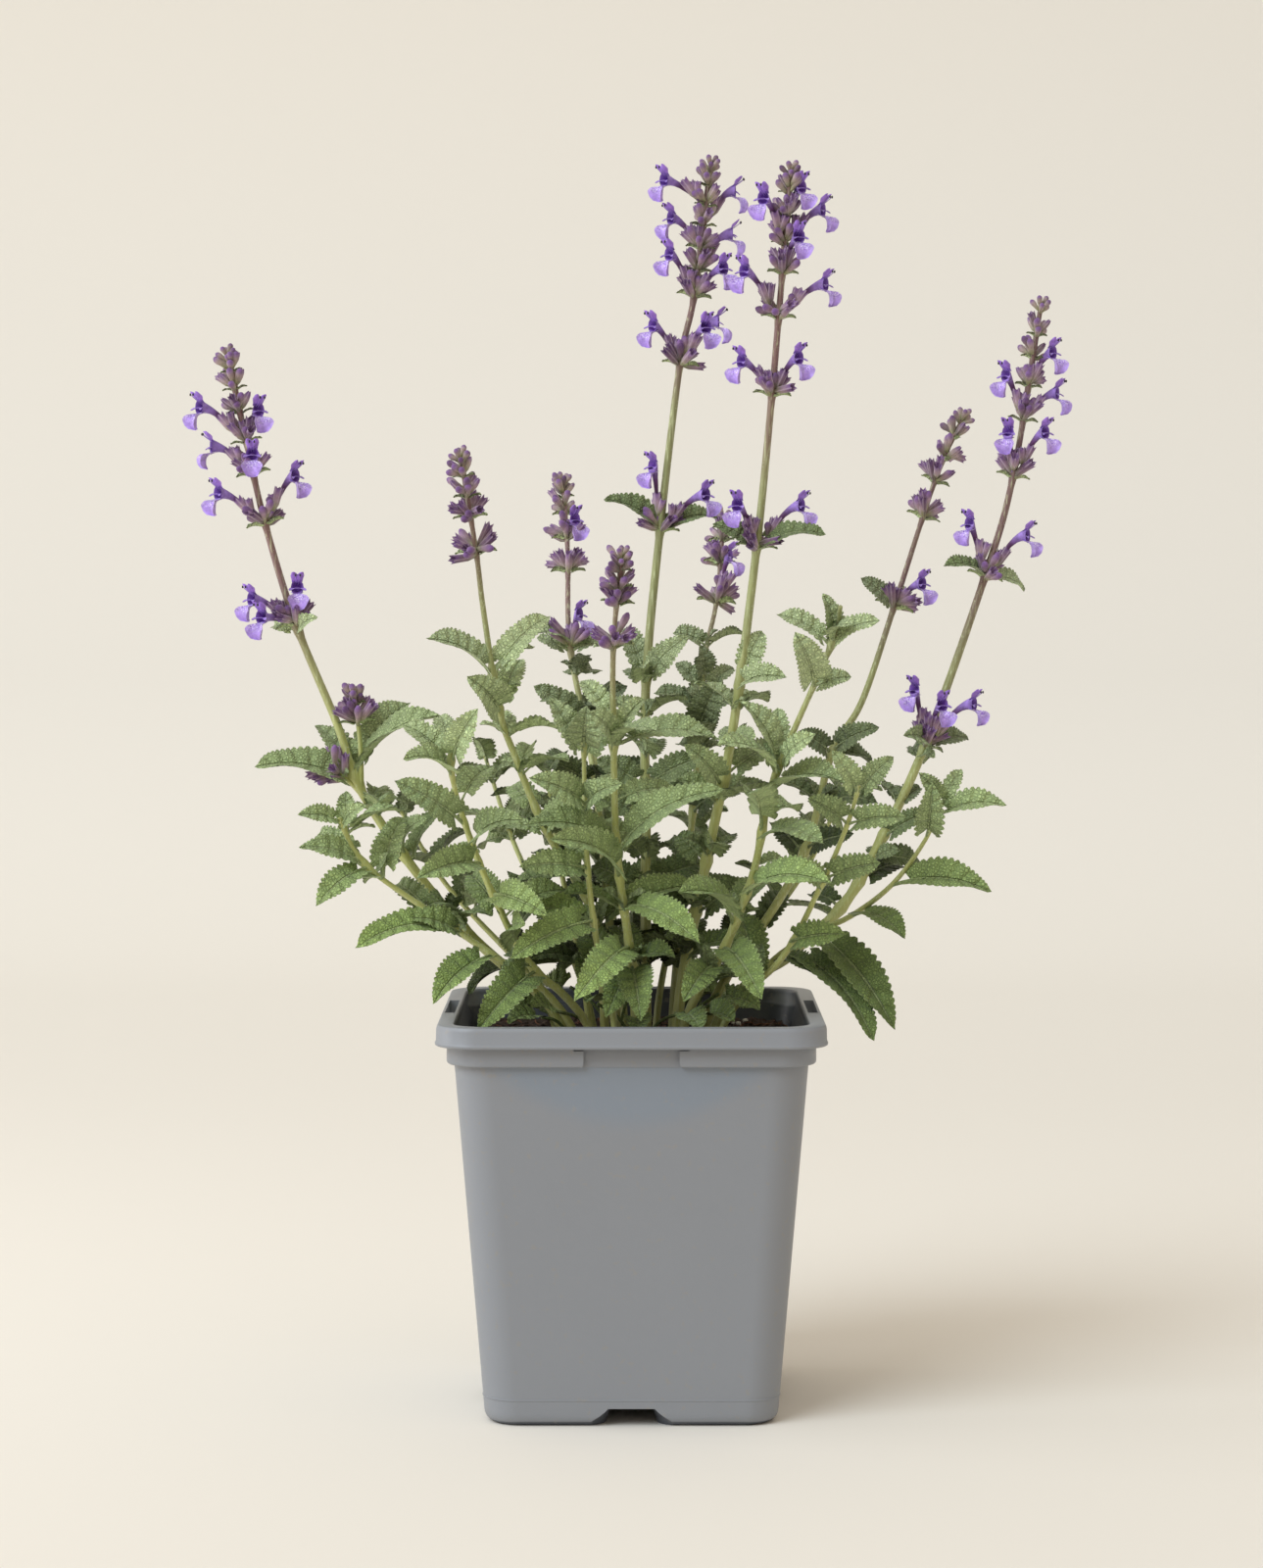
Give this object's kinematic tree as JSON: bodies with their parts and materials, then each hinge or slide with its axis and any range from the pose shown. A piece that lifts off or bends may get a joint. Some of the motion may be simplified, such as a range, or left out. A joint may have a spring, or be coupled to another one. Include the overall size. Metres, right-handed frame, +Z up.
{
  "type": "potted catmint",
  "caption": "Potted catmint: toothed grey-green leaves and violet flower spikes on square stems, in a tapered square grey nursery pot filled with dark soil",
  "frame": {"origin": "on the floor under the middle of the pot", "axes": "+Z up along the pot's upright axis; -Y towards the front, the side the picture shows; +X to the right as seen from the front"},
  "size_m": [0.3129, 0.1711, 0.4322],
  "materials": {
    "pot": "moulded, satin, slightly scuffed",
    "soil": "loose dark peat with fibres",
    "leaf_green": "matte, finely hairy",
    "flower_violet": "matte, finely hairy"
  },
  "bodies": {
    "root": {"pot": "pot", "soil": "soil", "stem_tall_left": "leaf_green", "stem_bud_left": "leaf_green", "stem_bud_back": "leaf_green", "stem_bud_front": "leaf_green", "stem_tall_mid": "leaf_green", "stem_tall_right": "leaf_green", "stem_bud_mid": "leaf_green", "stem_bud_right": "leaf_green", "stem_tall_far": "leaf_green", "leafy_front": "leaf_green", "low_left": "leaf_green", "leafy_left": "leaf_green", "leafy_right": "leaf_green", "leafy_centre": "leaf_green", "shoot_back_a": "leaf_green", "shoot_back_b": "leaf_green", "shoot_back_c": "leaf_green", "shoot_back_d": "leaf_green", "shoot_back_e": "leaf_green", "shoot_heart": "leaf_green", "spike_tall_left": "flower_violet", "spike_bud_left": "flower_violet", "spike_bud_back": "flower_violet", "spike_bud_front": "flower_violet", "spike_tall_mid": "flower_violet", "spike_tall_right": "flower_violet", "spike_bud_mid": "flower_violet", "spike_bud_right": "flower_violet", "spike_tall_far": "flower_violet"}
  },
  "joints": []
}
